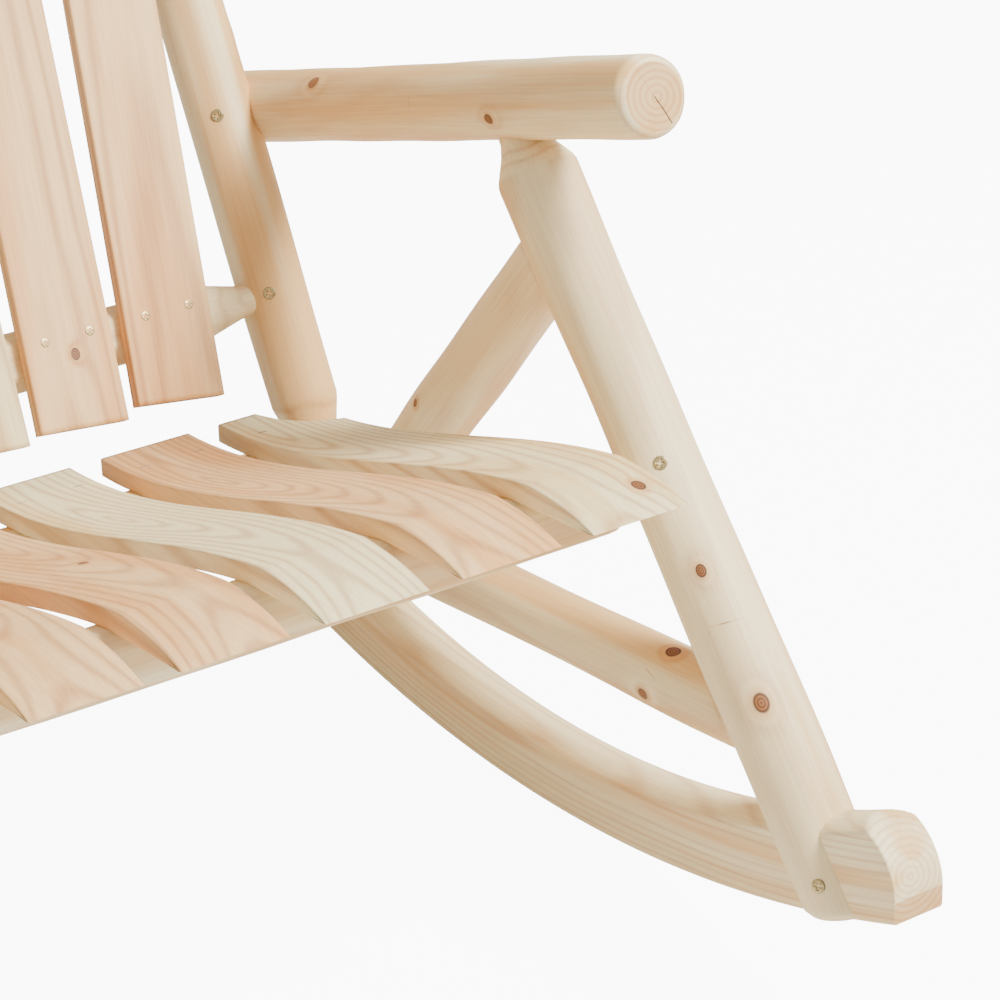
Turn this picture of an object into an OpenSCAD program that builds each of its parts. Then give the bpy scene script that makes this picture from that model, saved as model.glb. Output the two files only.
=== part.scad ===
// Two-seat log rocking chair.
// Debarked logs make two A-shaped side frames on curved rockers, four logs run across between
// them, and sawn boards make the seat and the fanned back. The origin is on the floor, midway
// between the rockers, where they touch it. +Z is up, the sitters face -Y, and +X is their left.
// The chair is drawn level with its rocker arc, then rolled back by rest_tilt to where it balances.

/* [Seat] */
// Number of boards in the seat
slat_count = 8; // [6:1:9]
// Width of a seat board
slat_w = 86; // [70:1:104]
// Gap between two seat boards
slat_gap = 28; // [16:1:34]
// Thickness of a seat board
slat_t = 17; // [12:0.5:22]
// Length of the seat from its front tip to its back edge, seen from above
seat_len = 549; // [455:1:660]
// Distance from the rocker arc's lowest point forward to the seat's front tip
seat_front = 322; // [280:1:380]
// Height of the seat's front tip above the floor
seat_h = 386; // [350:1:430]
// Rise of the rolled front edge above the tip
seat_roll = 10.6; // [6:0.1:16]
// Fall of the seat from its rolled front edge to its back edge
seat_drop = 110; // [80:1:130]

/* [Logs] */
// Diameter of a front leg
leg_d = 65; // [54:1:78]
// Diameter of a rear leg
rear_leg_d = 60; // [50:1:72]
// Diameter of an armrest
arm_d = 63; // [52:1:76]
// Diameter of a back post
post_d = 60; // [50:1:72]
// Diameter of a side stretcher
stretcher_d = 56; // [44:1:66]
// Diameter of the logs under the seat
seat_rail_d = 54; // [44:1:64]
// Diameter of the logs behind the back
back_rail_d = 52; // [44:1:62]
// Diameter of the tenon on the end of a log
tenon_d = 30; // [24:1:34]
// Diameter of the tenon on the log under the back of the seat
rear_tenon_d = 26; // [20:1:26]
// Diameter of the neck that a front leg is shaved to under the armrest
neck_d = 34; // [28:1:40]
// Depth that a tenon goes into the log that holds it
tenon_in = 38; // [24:1:44]

/* [Side frame] */
// Gap between the outer seat board and the front leg
side_gap = 29.5; // [20:0.5:40]
// Lean of the front leg back from upright
leg_lean = 38.8; // [35:0.1:42]
// Slope of the armrest down towards the back
arm_slope = 14.8; // [8:0.1:20]
// Height at which the armrest's middle line crosses the front leg's
arm_h = 605; // [580:1:680]
// Length of armrest ahead of that crossing
arm_front = 200; // [160:1:240]
// Length of armrest behind its crossing with the back post
arm_tail = 78; // [56:1:100]
// Height at which the rear leg's middle line meets the front leg's
rear_leg_h = 509; // [470:1:530]
// Height of the stretcher's middle line at its front end
stretcher_front_h = 190; // [170:1:230]
// Height of the stretcher's middle line at its back end
stretcher_back_h = 140; // [130:1:200]

/* [Rockers] */
// Radius of the rocker's lower edge
rocker_r = 1350; // [1200:5:1600]
// Radius of the rocker's upper edge
rocker_top_r = 1041; // [1000:1:1100]
// Height of the rocker at the middle
rocker_h = 59; // [50:1:70]
// Width of the rocker
rocker_w = 47; // [44:1:52]
// Length of rocker ahead of the arc's lowest point
rocker_front = 508; // [490:1:600]
// Length of rocker behind the rear leg's foot
rocker_tail = 104; // [90:1:200]
// Thickness left on a leg where it laps over the rocker's inner face
lap_t = 14.5; // [10:0.5:20]

/* [Back] */
// Lean of the back from upright, before the chair settles
back_lean = 26.2; // [20:0.1:30]
// Number of boards in the back
back_count = 8; // [6:1:9]
// Width of a back board
back_w = 81; // [66:1:82]
// Thickness of a back board
back_t = 15; // [11:0.5:19]
// Distance between the middles of two back boards at their feet
back_pitch = 92.6; // [90:0.1:98]
// Angle that the outermost back board fans out
back_fan = 7.2; // [4:0.1:8]
// Height of the back boards at the middle of the arch
back_len = 700; // [620:1:860]
// Radius of the arch along the tops of the back boards
arch_r = 980; // [800:10:1400]
// Length of a back post above the feet of the back boards
post_len = 650; // [560:1:800]
// Distance from the feet of the back boards to the lower log
low_rail_s = 69; // [56:1:90]
// Distance from the feet of the back boards to the upper log
high_rail_s = 520; // [440:1:560]
// Overlap of armrest and back post, cut out of the armrest
arm_lap = 13.5; // [8:0.5:16]

/* [Fixings] */
// Diameter of a wood screw's head
head_d = 8; // [6:0.5:10]
// Diameter of a wood screw's shank
shank_d = 4; // [3:0.5:5]
// Diameter of a lag screw's head
lag_head_d = 11; // [10:0.5:13]
// Diameter of a lag screw's shank
lag_d = 6; // [5:0.5:7]
// Width of a staple
staple_w = 11; // [8:0.5:14]
// Thickness of a staple's wire
staple_wire = 1.2; // [1:0.1:1.6]

/* [Balance] */
// Roll of the whole chair about the rocker arc's centre, backwards negative
rest_tilt = -6.45; // [-8:0.05:0]

/* [Hidden] */
$fn = 64;
SEAT_NAMES = [for (i = [1:slat_count]) str("seat_slat_", i)];
BACK_NAMES = [for (i = [1:back_count]) str("back_slat_", i)];
SIDES = [["left", 1], ["right", -1]];
PAIRED = ["rocker", "front_leg", "rear_leg", "side_stretcher", "armrest", "back_post"];
PAIR_NAMES = [for (p = PAIRED) for (s = SIDES) str(p, "_", s[0])];

PALE = [0.86, 0.79, 0.65];
CREAM = [0.90, 0.85, 0.70];
TAN = [0.85, 0.71, 0.54];
ZINC = [0.75, 0.66, 0.40];
STEEL = [0.55, 0.54, 0.52];

// Seat, seen from the side: y runs back from the front tip and z up from it.
roll_y = 83;                 // where the rolled front edge is highest
under_y = 106;               // where the flat cut under the front edge starts
nose_power = 2.6;            // roundness of the front edge
fall_early = 0.23;           // share of the fall at the first third of the curve
fall_late = 0.94;            // share of the fall at the second third of the curve
function nose_z(y) = seat_roll * (1 - pow(1 - y / roll_y, nose_power));
function share(y) = (y - roll_y) / (seat_len - roll_y);
function fall(t) = 3 * pow(1 - t, 2) * t * fall_early + 3 * (1 - t) * t * t * fall_late + t * t * t;
function top_z(y) = y < roll_y ? nose_z(y) : seat_roll - seat_drop * fall(share(y));
function under_z(y) = top_z(y) - slat_t;
nose_steps = 8;
seat_steps = 36;
seat_step = (seat_len - roll_y) / seat_steps;
function seat_y(i) = roll_y + i * seat_step;
TOP_POINTS = concat(
    [for (i = [0:nose_steps - 1]) let(y = roll_y * i / nose_steps) [y, top_z(y)]],
    [for (i = [0:seat_steps]) [seat_y(i), top_z(seat_y(i))]]);
UNDER_POINTS = concat(
    [for (i = [seat_steps:-1:0]) if (seat_y(i) > under_y + 1) [seat_y(i), under_z(seat_y(i))]],
    [[under_y, under_z(under_y)], [5, -2]]);

pitch = slat_w + slat_gap;
seat_half = (slat_count * slat_w + (slat_count - 1) * slat_gap) / 2;
function slat_x(i) = seat_half - slat_w / 2 - (i - 1) * pitch;
seat_y0 = -seat_front;

// Across the chair.
leg_x = seat_half + side_gap + leg_d / 2;
post_x = leg_x - arm_d / 2 - post_d / 2 + arm_lap;
rocker_in_x = leg_x - leg_d / 2 + lap_t;

// Log centres in the side view, as [y, z].
bite = 2;                    // how far a board is let into the log that carries it
front_rail_at = 110;         // from the seat's front tip back to the front log
rear_overhang = 60;          // from the rear log back to the seat's back edge
rail_r = seat_rail_d / 2;
front_rail = [seat_y0 + front_rail_at, seat_h + under_z(front_rail_at) + bite - rail_r];
rear_at = seat_len - rear_overhang;
rear_rail = [seat_y0 + rear_at, seat_h + under_z(rear_at) + bite - rail_r];

leg_behind = -3;             // the leg's middle line passes this far behind the front log's
function leg_y(z) = front_rail[0] + leg_behind + (z - front_rail[1]) * tan(leg_lean);
arm_cross = [leg_y(arm_h), arm_h];
function arm_z(y) = arm_h - (y - arm_cross[0]) * tan(arm_slope);
leg_foot = [leg_y(20), 20];
leg_axis = [sin(leg_lean), cos(leg_lean)];

// The rear leg runs from the front leg down past the rear seat log, just ahead of its middle.
rear_lap = 17;               // from the rear leg's middle line to the rear log's
rear_head = [leg_y(rear_leg_h), rear_leg_h];
head_to_rail = rear_rail - rear_head;
rear_angle = atan2(head_to_rail[1], head_to_rail[0]) - asin(rear_lap / norm(head_to_rail));
rear_axis = [cos(rear_angle), sin(rear_angle)];
function rear_leg_y(z) = rear_head[0] + (z - rear_head[1]) / tan(rear_angle);
rear_foot = [rear_leg_y(20), 20];
stretcher_front = [leg_y(stretcher_front_h), stretcher_front_h];
stretcher_back = [rear_leg_y(stretcher_back_h), stretcher_back_h];

// The back post passes behind the rear log. Its frame has z along the post, x across, y behind.
post_behind = 69;            // from the rear log's middle line back to the post's
foot_rise = 56.6;            // along the post, from the rear log up to the feet of the boards
back_y0 = rear_rail[0] + post_behind + foot_rise * sin(back_lean);
back_z0 = rear_rail[1] + foot_rise * cos(back_lean);
post_dir = [sin(back_lean), cos(back_lean)];
head_to_back = [back_y0, back_z0] - rear_head;
foot_s = cross(head_to_back, rear_axis) / -cross(post_dir, rear_axis);
foot_lap = 1.5;              // how deep the post's foot is let into the rear leg beside it
foot_r = leg_x - rear_leg_d / 2 - post_x + foot_lap;
foot_tail = 18;              // length of foot past its crossing with the rear leg
shoulder_s = -30;            // where the post starts to narrow to its foot
foot_taper = 34;             // length of that taper
board_face = 38;             // from the post's middle line forward to the boards' front
board_back = board_face - back_t;
arm_post_s = (arm_z(back_y0) - back_z0) / (cos(back_lean) + sin(back_lean) * tan(arm_slope));
arm_end_y = back_y0 + arm_post_s * sin(back_lean) + arm_tail * cos(arm_slope);
arm_tip_y = arm_cross[0] - arm_front * cos(arm_slope);
function board_x(i) = back_pitch * ((back_count + 1) / 2 - i);
function board_fan(i) = back_fan * board_x(i) / board_x(1);

// Rocker arcs: the lower about [0, rocker_r], the upper about [0, top_centre].
top_centre = rocker_h + rocker_top_r;
rocker_back = rear_foot[0] + rocker_tail;
nose_r = 48;                 // rounding of the rocker's front end
tail_r = 30;                 // rounding of the rocker's back end
foot_clear = 1;              // a leg ends this far short of the rocker's lower edge
function arc_z(y, r, c) = c - sqrt(r * r - y * y);

// ---- Shared shapes ----

// Rolls the whole chair about the centre of its rocker arc.
module settle() {
    translate([0, 0, rocker_r]) rotate([rest_tilt, 0, 0]) translate([0, 0, -rocker_r]) children();
}

// Draws a left-hand piece as it is, and its right-hand twin as a mirror image.
module sided(side) {
    if (side > 0) children();
    else mirror([1, 0, 0]) children();
}

// Puts the z axis on the line from a to b.
module along(a, b) {
    v = b - a;
    translate(a) rotate([0, acos(v[2] / norm(v)), atan2(v[1], v[0])]) children();
}

// A log from a to b. An end is [tenon radius, taper length, tenon length], or [] for a plain end.
module log_from(a, b, r, start = [], finish = []) {
    n = norm(b - a);
    low = start == [] ? [[r, 0]] : [[start[0], 0], [start[0], start[2]], [r, start[1] + start[2]]];
    high = finish == [] ? [[r, n]]
        : [[r, n - finish[1] - finish[2]], [finish[0], n - finish[2]], [finish[0], n]];
    along(a, b) rotate_extrude() polygon(concat([[0, 0]], low, high, [[0, n]]));
}

hole_out = 12;               // how far a screw hole's bore is carried on out of the wood

// A countersunk screw at a point, driven along a direction: [point, direction, length, lag].
// The blank's head can be carried on out of the wood, to cut the hole.
module screw_blank(s, out = 0) {
    r = s[3] ? lag_d / 2 : shank_d / 2;
    head = s[3] ? lag_head_d / 2 : head_d / 2;
    sink = head - r;
    along(s[0], s[0] + s[1]) rotate_extrude() polygon([[0, -out], [head, -out], [head, 0.8],
        [r, 0.8 + sink], [r, s[2] - 2 * r], [0, s[2]]]);
}

// The screw itself has a cross recess in its head.
module screw(s) {
    head = s[3] ? lag_head_d : head_d;
    difference() {
        screw_blank(s);
        along(s[0], s[0] + s[1]) for (a = [0, 90]) rotate(a + 20)
            translate([-head * 0.3, -head * 0.07, -1]) cube([head * 0.6, head * 0.14, 2.4]);
    }
}

module screws(list) {
    for (s = list) screw(s);
}

module screw_holes(list) {
    for (s = list) screw_blank(s, hole_out);
}

// The same list of screws on the other side of the chair.
function flip(v) = [-v[0], v[1], v[2]];
function both(list) = concat(list, [for (s = list) [flip(s[0]), flip(s[1]), s[2], s[3]]]);

module back_frame() {
    translate([0, back_y0, back_z0]) rotate([-back_lean, 0, 0]) children();
}

// A point and a direction from the back's frame into the chair's.
function back_dir(v) = [v[0], v[1] * cos(back_lean) + v[2] * sin(back_lean),
    v[2] * cos(back_lean) - v[1] * sin(back_lean)];
function back_pt(v) = back_dir(v) + [0, back_y0, back_z0];

// ---- Screws, each as [point, direction, length, lag] ----

screw_rise = 8;              // board screws sit this far above the log's middle line
screw_half = 21;             // half the spacing of two screws across a board
function board_screws(s) = [for (i = [1:back_count]) for (h = [-1, 1])
    let(a = board_fan(i), up = s / cos(a))
    [back_pt([board_x(i) + up * sin(a) + h * screw_half, -board_face, s]),
     back_dir([0, 1, 0]), 45, false]];
LOW_BOARD_SCREWS = board_screws(low_rail_s + screw_rise);
HIGH_BOARD_SCREWS = board_screws(high_rail_s + screw_rise);

// A screw driven at a log's middle line from its front, turned this far in from straight ahead.
inward = 34;
post_dir_in = [sin(inward), cos(inward), 0];
function post_screw(s, len) = [back_pt([post_x, 0, s] - post_dir_in * post_d / 2),
    back_dir(post_dir_in), len, true];
BACK_RAIL_SCREWS = both([for (s = [low_rail_s, high_rail_s]) post_screw(s, 50)]);
ARM_POST_SCREWS = both([post_screw(arm_post_s, 96)]);

// A front leg's screws: height of the middle line there, angle in from straight ahead, length.
leg_normal = [0, -leg_axis[1], leg_axis[0]];
function leg_screw(z, turn, len) = let(out = cos(turn) * leg_normal - [sin(turn), 0, 0])
    [[leg_x, leg_y(z), z] + out * leg_d / 2, -out, len, true];
FRONT_RAIL_SCREWS = both([leg_screw(front_rail[1] + 8, inward, 52)]);
ARM_LEG_SCREWS = both([[[leg_x + arm_d / 2, arm_cross[0], arm_cross[1]], [-1, 0, 0], 48, true]]);

rear_normal = [0, -rear_axis[1], rear_axis[0]];
REAR_RAIL_SCREWS = both([[[leg_x, rear_rail[0], rear_rail[1]]
    + rear_normal * (rear_leg_d / 2 - rear_lap), -rear_normal, 44, true]]);
foot_cross = back_pt([post_x - foot_r, 0, foot_s]);
POST_FOOT_SCREWS = both([[foot_cross, [1, 0, 0], 2 * foot_r + 42, true]]);

front_lap_z = 92;            // height of the front lap screw
FRONT_LAP_SCREWS = both([leg_screw(front_lap_z, 62, 48)]);
rear_lap_z = 78;             // height of the rear lap screw
REAR_LAP_SCREWS = both([[[leg_x - rear_leg_d / 2, rear_leg_y(rear_lap_z), rear_lap_z],
    [1, 0, 0], 48, true]]);

// A slanting screw from one point towards another in the side frame's plane, head sunk in.
toe_sink = 3;
function toe(from, to, len) = let(d = (to - from) / norm(to - from))
    [[leg_x, from[0], from[1]] + toe_sink * [0, d[0], d[1]], [0, d[0], d[1]], len, true];
up_back = [rear_normal[1], rear_normal[2]];
REAR_TOP_SCREWS = both([toe(rear_head + 78 * rear_axis + up_back * rear_leg_d / 2,
    rear_head + 8 * rear_axis, 84)]);
stretcher_dir = (stretcher_back - stretcher_front) / norm(stretcher_back - stretcher_front);
stretcher_up = [-stretcher_dir[1], stretcher_dir[0]];
function stretcher_toe(end, way) = toe(
    end + way * 84 * stretcher_dir - stretcher_up * stretcher_d / 2, end + way * 8 * stretcher_dir, 88);
STRETCHER_SCREWS = both([stretcher_toe(stretcher_front, 1), stretcher_toe(stretcher_back, -1)]);

nail_half = 26;              // half the spacing of two staples across a board
nail_behind = 14;            // from the rear log's middle line back to the staples
SEAT_SCREWS = [for (i = [1:slat_count])
    [[slat_x(i), front_rail[0], front_rail[1] - rail_r], [0, 0, 1], seat_rail_d + 8, false]];

// ---- Rockers and legs ----

// The blank for both rockers' curved shape: a ring with the log's round surface on its inside.
module rocker_blank() {
    crown_r = leg_d / 2;
    translate([rocker_in_x, 0, top_centre]) rotate([0, 90, 0]) rotate_extrude($fn = 180)
        translate([rocker_top_r, 0]) intersection() {
            square([rocker_r, rocker_w]);
            union() {
                translate([crown_r, rocker_w / 2]) circle(crown_r);
                translate([crown_r, 0]) square([rocker_r, rocker_w]);
            }
        }
}

module rocker_side() {
    nose_y = nose_r - rocker_front;
    nose_z = arc_z(nose_y, rocker_top_r, top_centre) - nose_r;
    tail_y = rocker_back - tail_r;
    tail_z = arc_z(tail_y, rocker_top_r, top_centre) - tail_r;
    intersection() {
        translate([0, rocker_r]) circle(rocker_r, $fn = 360);
        union() {
            translate([nose_y, 0]) square([tail_y - nose_y, 400]);
            translate([nose_y, nose_z]) circle(nose_r);
            translate([nose_y - 0.75 * nose_r, nose_z - nose_r]) square([nose_r, nose_r]);
            translate([tail_y, tail_z]) circle(tail_r);
            translate([tail_y - 1, tail_z - 100]) square([tail_r + 1, 100]);
        }
    }
}

module rocker_shape() {
    intersection() {
        rocker_blank();
        translate([rocker_in_x, 0, 0]) rotate([90, 0, 90]) linear_extrude(rocker_w) rocker_side();
    }
}

// What a leg may fill: the disc inside the rocker's lower edge.
module inside_arc() {
    translate([0, 0, rocker_r]) rotate([0, 90, 0])
        cylinder(h = leg_x + leg_d, r = rocker_r - foot_clear, $fn = 360);
}

module rocker(side) {
    settle() sided(side) color(PALE) difference() {
        rocker_shape();
        screw_holes(FRONT_LAP_SCREWS);
        screw_holes(REAR_LAP_SCREWS);
    }
}

leg_taper = 34;              // length of the taper under the armrest
neck_in = 8;                 // how far the neck goes past the armrest's middle line
module leg_log() {
    reach = norm(arm_cross - leg_foot) + neck_in;
    a = [leg_x, leg_foot[0], leg_foot[1]];
    b = a + reach * [0, leg_axis[0], leg_axis[1]];
    log_from(a, b, leg_d / 2, [], [neck_d / 2, leg_taper, arm_d / 2 + neck_in]);
}

module rear_log() {
    a = [leg_x, rear_foot[0], rear_foot[1]];
    log_from(a, [leg_x, rear_head[0], rear_head[1]], rear_leg_d / 2);
}

// A plain cylinder on the front leg's middle line, to cope other logs against.
module leg_cutter() {
    log_from([leg_x, leg_foot[0], leg_foot[1]], [leg_x, arm_cross[0], arm_cross[1]], leg_d / 2);
}

module front_leg(side) {
    settle() sided(side) color(PALE) difference() {
        intersection() { leg_log(); inside_arc(); }
        rocker_shape();
        rail_tenon(front_rail, leg_d / 2, tenon_d);
        screw_holes(ARM_LEG_SCREWS);
        screw_holes(FRONT_RAIL_SCREWS);
        screw_holes(FRONT_LAP_SCREWS);
        screw_holes(REAR_TOP_SCREWS);
        screw_holes(STRETCHER_SCREWS);
    }
}

module rear_leg(side) {
    settle() sided(side) color(PALE) difference() {
        intersection() { rear_log(); inside_arc(); }
        leg_cutter();
        rocker_shape();
        rail_tenon(rear_rail, rear_leg_d / 2, rear_tenon_d);
        post_log();
        screw_holes(POST_FOOT_SCREWS);
        screw_holes(REAR_RAIL_SCREWS);
        screw_holes(REAR_LAP_SCREWS);
        screw_holes(REAR_TOP_SCREWS);
        screw_holes(STRETCHER_SCREWS);
    }
}

module side_stretcher(side) {
    settle() sided(side) color(PALE) difference() {
        log_from([leg_x, stretcher_front[0], stretcher_front[1]],
            [leg_x, stretcher_back[0], stretcher_back[1]], stretcher_d / 2);
        leg_cutter();
        rear_log();
        screw_holes(STRETCHER_SCREWS);
    }
}

module arm_log() {
    log_from([leg_x, arm_tip_y, arm_z(arm_tip_y)], [leg_x, arm_end_y, arm_z(arm_end_y)], arm_d / 2);
}

module post_log() {
    end_s = foot_s - foot_tail;
    back_frame() log_from([post_x, 0, end_s], [post_x, 0, post_len], post_d / 2,
        [foot_r, foot_taper, shoulder_s - foot_taper - end_s], [post_d / 2 - 9, 9, 0]);
}

module armrest(side) {
    settle() sided(side) color(PALE) difference() {
        arm_log();
        leg_log();
        post_log();
        screw_holes(ARM_LEG_SCREWS);
        screw_holes(ARM_POST_SCREWS);
    }
}

// ---- Back ----

module back_post(side) {
    settle() sided(side) color(PALE) difference() {
        post_log();
        back_frame() back_tenon(low_rail_s);
        back_frame() back_tenon(high_rail_s);
        back_frame() board_shape(1);
        screw_holes(BACK_RAIL_SCREWS);
        screw_holes(ARM_POST_SCREWS);
        screw_holes(POST_FOOT_SCREWS);
    }
}

// A log across the back, with tapered tenons in the posts.
back_taper = 44;             // length of the taper on each end of a log behind the back
module back_log(s) {
    reach = post_x - post_d / 2 + tenon_in;
    end = [tenon_d / 2, back_taper, tenon_in + 6];
    log_from([-reach, 0, s], [reach, 0, s], back_rail_d / 2, end, end);
}

module back_tenon(s) {
    translate([post_x - post_d, 0, s]) rotate([0, 90, 0])
        cylinder(h = post_d / 2 + tenon_in, d = tenon_d);
}

module back_rail(s, list) {
    settle() color(PALE) difference() {
        back_frame() back_log(s);
        back_frame() translate([-post_x, -board_face, s - back_rail_d])
            cube([2 * post_x, back_t, 2 * back_rail_d]);
        screw_holes(list);
        screw_holes(BACK_RAIL_SCREWS);
    }
}

module lower_back_rail() { back_rail(low_rail_s, LOW_BOARD_SCREWS); }
module upper_back_rail() { back_rail(high_rail_s, HIGH_BOARD_SCREWS); }

// A back board in the back's frame: it fans out, and the arch trims its top.
module board_shape(i) {
    intersection() {
        translate([board_x(i), -board_face, 0]) rotate([0, board_fan(i), 0])
            translate([-back_w / 2, 0, 0]) cube([back_w, back_t, back_len + 40]);
        translate([0, 0, back_len - arch_r]) rotate([90, 0, 0])
            cylinder(h = 4 * board_face, r = arch_r, center = true, $fn = 180);
    }
}

module back_slat(i) {
    settle() color(i % 2 == 1 ? TAN : CREAM) difference() {
        back_frame() board_shape(i);
        screw_holes(LOW_BOARD_SCREWS);
        screw_holes(HIGH_BOARD_SCREWS);
    }
}

// ---- Seat ----

// A log across the chair under the seat, with tapered tenons in legs of radius leg_r.
rail_taper = 26;             // length of the taper on each end
module rail_log(at, leg_r, tenon) {
    reach = leg_x - leg_r + tenon_in;
    end = [tenon / 2, rail_taper, tenon_in + 2];
    log_from([-reach, at[0], at[1]], [reach, at[0], at[1]], rail_r, end, end);
}

module rail_tenon(at, leg_r, tenon) {
    translate([leg_x - 2 * leg_r, at[0], at[1]]) rotate([0, 90, 0])
        cylinder(h = leg_r + tenon_in, d = tenon);
}

// Everything above the underside of the seat boards, over the whole width.
module seat_slab() {
    translate([-seat_half, seat_y0, seat_h]) rotate([90, 0, 90]) linear_extrude(2 * seat_half)
        polygon(concat(TOP_POINTS, UNDER_POINTS));
}

module front_seat_rail() {
    settle() color(PALE) difference() {
        rail_log(front_rail, leg_d / 2, tenon_d);
        seat_slab();
        screw_holes(FRONT_RAIL_SCREWS);
        screw_holes(SEAT_SCREWS);
    }
}

module rear_seat_rail() {
    settle() color(PALE) difference() {
        rail_log(rear_rail, rear_leg_d / 2, rear_tenon_d);
        seat_slab();
        screw_holes(REAR_RAIL_SCREWS);
        staples();
    }
}

// The outer boards are scooped at the back corner to clear the post.
scoop_r = 87;
scoop_x = 26;                // the scoop's centre lies this far outside the post's middle line
scoop_y = 6;                 // and this far behind the seat's back edge
module slat_shape(i) {
    difference() {
        translate([slat_x(i) - slat_w / 2, seat_y0, seat_h]) rotate([90, 0, 90])
            linear_extrude(slat_w) polygon(concat(TOP_POINTS, UNDER_POINTS));
        for (s = [-1, 1]) translate([s * (post_x + scoop_x), seat_y0 + seat_len + scoop_y, 0])
            cylinder(h = 2 * seat_h, r = scoop_r);
    }
}

module seat_slat(i) {
    settle() color(i % 2 == 1 ? CREAM : TAN) difference() {
        slat_shape(i);
        screw_holes(SEAT_SCREWS);
        staples();
    }
}

// ---- Fixings ----

// One staple: a crown on the board and two legs down into the log.
module staple(p) {
    reach = slat_t + 16;
    translate(p) {
        translate([-staple_w / 2, -staple_wire / 2, -staple_wire])
            cube([staple_w, staple_wire, staple_wire]);
        for (s = [0, 1]) translate([-staple_w / 2 + s * (staple_w - staple_wire), -staple_wire / 2,
            -reach]) cube([staple_wire, staple_wire, reach - staple_wire / 2]);
    }
}

// The outer boards have only the inner staple: the scoop takes the place of the other.
module staples() {
    at = rear_at + nail_behind;
    for (i = [1:slat_count]) for (h = [-1, 1]) {
        x = slat_x(i) + h * nail_half;
        if (abs(x) < seat_half - slat_w / 2)
            staple([x, seat_y0 + at, seat_h + top_z(at)]);
    }
}

module back_slat_screws_lower() { settle() color(ZINC) screws(LOW_BOARD_SCREWS); }
module back_slat_screws_upper() { settle() color(ZINC) screws(HIGH_BOARD_SCREWS); }
module back_rail_screws() { settle() color(ZINC) screws(BACK_RAIL_SCREWS); }
module arm_post_screws() { settle() color(ZINC) screws(ARM_POST_SCREWS); }
module arm_leg_screws() { settle() color(ZINC) screws(ARM_LEG_SCREWS); }
module front_rail_screws() { settle() color(ZINC) screws(FRONT_RAIL_SCREWS); }
module rear_rail_screws() { settle() color(ZINC) screws(REAR_RAIL_SCREWS); }
module post_foot_screws() { settle() color(ZINC) screws(POST_FOOT_SCREWS); }
module front_leg_rocker_screws() { settle() color(ZINC) screws(FRONT_LAP_SCREWS); }
module rear_leg_rocker_screws() { settle() color(ZINC) screws(REAR_LAP_SCREWS); }
module rear_leg_top_screws() { settle() color(ZINC) screws(REAR_TOP_SCREWS); }
module stretcher_screws() { settle() color(ZINC) screws(STRETCHER_SCREWS); }
module seat_slat_screws() { settle() color(ZINC) screws(SEAT_SCREWS); }
module seat_slat_staples() { settle() color(STEEL) staples(); }

// ---- Drawing ----

for (s = SIDES) {
    rocker(s[1]);
    front_leg(s[1]);
    rear_leg(s[1]);
    side_stretcher(s[1]);
    armrest(s[1]);
    back_post(s[1]);
}
for (i = [1:slat_count]) seat_slat(i);
for (i = [1:back_count]) back_slat(i);
front_seat_rail();
rear_seat_rail();
lower_back_rail();
upper_back_rail();
back_slat_screws_lower();
back_slat_screws_upper();
back_rail_screws();
arm_post_screws();
arm_leg_screws();
front_rail_screws();
rear_rail_screws();
post_foot_screws();
front_leg_rocker_screws();
rear_leg_rocker_screws();
rear_leg_top_screws();
stretcher_screws();
seat_slat_screws();
seat_slat_staples();
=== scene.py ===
# %% [markdown]
# # A two-seat log rocking chair
#
# This script dresses the chair's fixed solids in wood. It loads them, measures out the same logs
# and boards again as fine surfaces, paints them with procedural wood, and sets up light and camera.
#
# Every surface is made as whole arrays of points: a log is a grid of rings along its middle line,
# a board is a grid of cross-sections. All lengths in the sums are in millimetres, drawn with the
# chair level on its rockers. The last step rolls the points back to where the chair balances.

import bpy
import numpy as np
from mathutils import Matrix, Vector


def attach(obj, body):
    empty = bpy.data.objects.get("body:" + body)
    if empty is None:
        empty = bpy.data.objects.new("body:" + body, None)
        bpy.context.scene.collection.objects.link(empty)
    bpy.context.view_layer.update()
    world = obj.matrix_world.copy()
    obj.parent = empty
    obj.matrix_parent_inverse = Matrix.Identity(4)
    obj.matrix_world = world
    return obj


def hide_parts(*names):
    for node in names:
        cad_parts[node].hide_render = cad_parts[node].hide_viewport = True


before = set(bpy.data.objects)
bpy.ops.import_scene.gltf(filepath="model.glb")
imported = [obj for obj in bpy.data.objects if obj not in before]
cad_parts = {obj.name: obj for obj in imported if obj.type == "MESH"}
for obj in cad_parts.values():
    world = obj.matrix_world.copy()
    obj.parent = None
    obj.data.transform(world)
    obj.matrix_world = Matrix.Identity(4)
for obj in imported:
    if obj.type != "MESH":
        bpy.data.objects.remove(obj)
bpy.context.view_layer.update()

# %% [markdown]
# ## Sizes
#
# The driving sizes are the same as the solids'. Side-view points are (y, z) pairs.

# %% Driving sizes
TILT = np.radians(-6.45)
SLATS, SLAT_W, SLAT_GAP, SLAT_T = 8, 86, 28, 17
SEAT_LEN, SEAT_FRONT, SEAT_H = 549, 322, 386
SEAT_ROLL, SEAT_DROP, ROLL_Y, UNDER_Y = 10.6, 110, 83, 106
LEG_R, REAR_R, ARM_R, POST_R, STRETCHER_R = 32.5, 30, 31.5, 30, 28
SEAT_RAIL_R, BACK_RAIL_R, TENON_R, REAR_TENON_R, NECK_R, TENON_IN = 27, 26, 15, 13, 17, 38
LEG_LEAN, ARM_SLOPE, BACK_LEAN = np.radians([38.8, 14.8, 26.2])
ARM_H, ARM_FRONT, ARM_TAIL, REAR_H = 605, 200, 78, 509
STRETCHER_FRONT, STRETCHER_BACK = 190, 140
ROCKER_R, ROCKER_TOP_R, ROCKER_H, ROCKER_W = 1350, 1041, 59, 47
ROCKER_FRONT, ROCKER_TAIL, LAP_T, NOSE_R, TAIL_R = 508, 104, 14.5, 48, 30
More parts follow.
